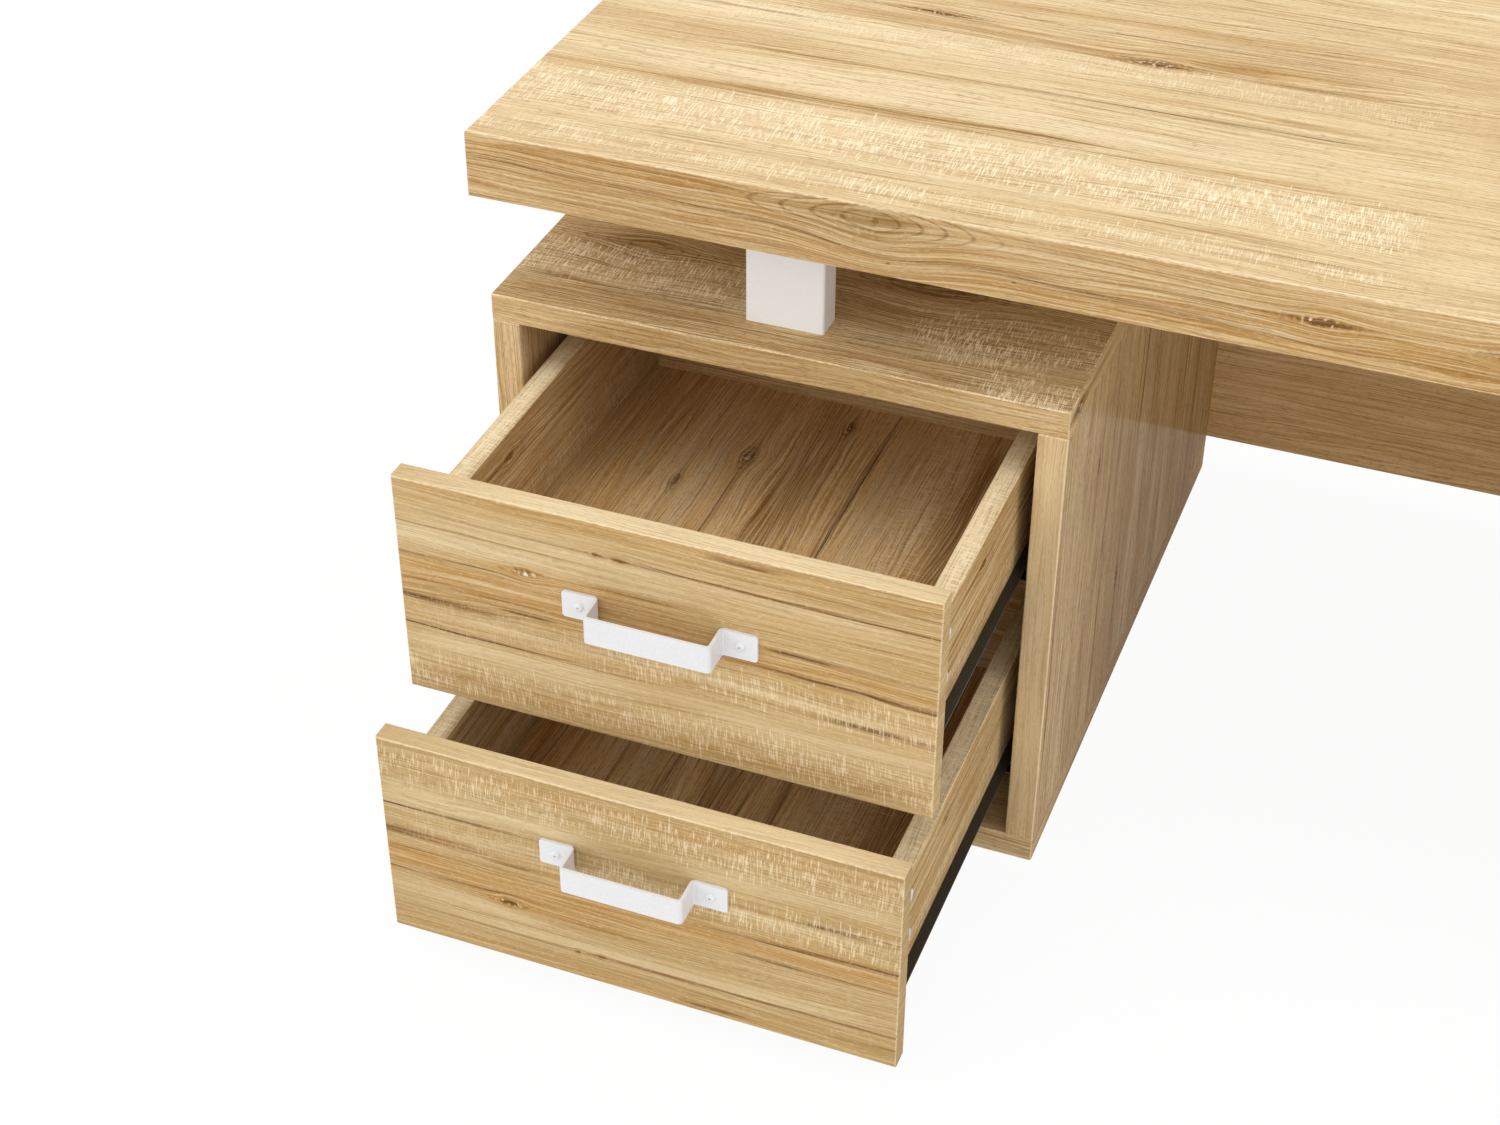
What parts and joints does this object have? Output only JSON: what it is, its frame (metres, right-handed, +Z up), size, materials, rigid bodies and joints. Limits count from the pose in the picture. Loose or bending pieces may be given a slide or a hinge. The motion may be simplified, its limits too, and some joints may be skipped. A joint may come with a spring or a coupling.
{
  "type": "twin pedestal desk",
  "caption": "Executive desk with a thick oak desktop raised on steel spacers over two drawer pedestals, each drawer on slides with a bent strip handle.",
  "frame": {"origin": "on the floor under the middle of the desk as it stands, its left drawers pulled out", "axes": "+X to the right of someone sitting at the desk's front, +Y from the front to the back, +Z up"},
  "size_m": [1.828, 1.2124, 0.75],
  "materials": {
    "oak": "oak-look melamine board with a satin, lightly textured surface",
    "tongue_wood": "bare plywood tongues, hidden in the joints",
    "white_steel": "white powder coat, satin",
    "black_steel": "black epoxy-coated sheet steel, satin",
    "zinc": "die-cast zinc, dull",
    "bolt_steel": "zinc-plated steel"
  },
  "bodies": {
    "frame": {"desktop": "oak", "left_front_spacer": "white_steel", "right_front_spacer": "white_steel", "left_rear_spacer": "white_steel", "right_rear_spacer": "white_steel", "desktop_bolts": "bolt_steel", "left_pedestal_top": "oak", "left_pedestal_bottom": "oak", "left_pedestal_outer_side": "oak", "left_pedestal_inner_side": "oak", "left_pedestal_back": "oak", "right_pedestal_top": "oak", "right_pedestal_bottom": "oak", "right_pedestal_outer_side": "oak", "right_pedestal_inner_side": "oak", "right_pedestal_back": "oak", "pedestal_tongues": "tongue_wood", "modesty_panel": "oak", "modesty_tongues": "tongue_wood", "left_upper_drawer_cabinet_runners": "black_steel", "left_lower_drawer_cabinet_runners": "black_steel", "right_upper_drawer_cabinet_runners": "black_steel", "right_lower_drawer_cabinet_runners": "black_steel"},
    "left_upper_drawer": {"left_upper_drawer_front": "oak", "left_upper_drawer_left_side": "oak", "left_upper_drawer_right_side": "oak", "left_upper_drawer_back": "oak", "left_upper_drawer_bottom": "oak", "left_upper_drawer_cams": "zinc", "left_upper_drawer_handle": "white_steel", "left_upper_drawer_runners": "black_steel"},
    "left_lower_drawer": {"left_lower_drawer_front": "oak", "left_lower_drawer_left_side": "oak", "left_lower_drawer_right_side": "oak", "left_lower_drawer_back": "oak", "left_lower_drawer_bottom": "oak", "left_lower_drawer_cams": "zinc", "left_lower_drawer_handle": "white_steel", "left_lower_drawer_runners": "black_steel"},
    "right_upper_drawer": {"right_upper_drawer_front": "oak", "right_upper_drawer_left_side": "oak", "right_upper_drawer_right_side": "oak", "right_upper_drawer_back": "oak", "right_upper_drawer_bottom": "oak", "right_upper_drawer_cams": "zinc", "right_upper_drawer_handle": "white_steel", "right_upper_drawer_runners": "black_steel"},
    "right_lower_drawer": {"right_lower_drawer_front": "oak", "right_lower_drawer_left_side": "oak", "right_lower_drawer_right_side": "oak", "right_lower_drawer_back": "oak", "right_lower_drawer_bottom": "oak", "right_lower_drawer_cams": "zinc", "right_lower_drawer_handle": "white_steel", "right_lower_drawer_runners": "black_steel"}
  },
  "joints": [
    {"name": "left_upper_drawer_slide", "type": "slide", "parent": "frame", "child": "left_upper_drawer", "axis": [0, -1, 0], "range_m": [-0.28, 0.1]},
    {"name": "left_lower_drawer_slide", "type": "slide", "parent": "frame", "child": "left_lower_drawer", "axis": [0, -1, 0], "range_m": [-0.357, 0.023]},
    {"name": "right_upper_drawer_slide", "type": "slide", "parent": "frame", "child": "right_upper_drawer", "axis": [0, -1, 0], "range_m": [0, 0.38]},
    {"name": "right_lower_drawer_slide", "type": "slide", "parent": "frame", "child": "right_lower_drawer", "axis": [0, -1, 0], "range_m": [0, 0.38]}
  ]
}
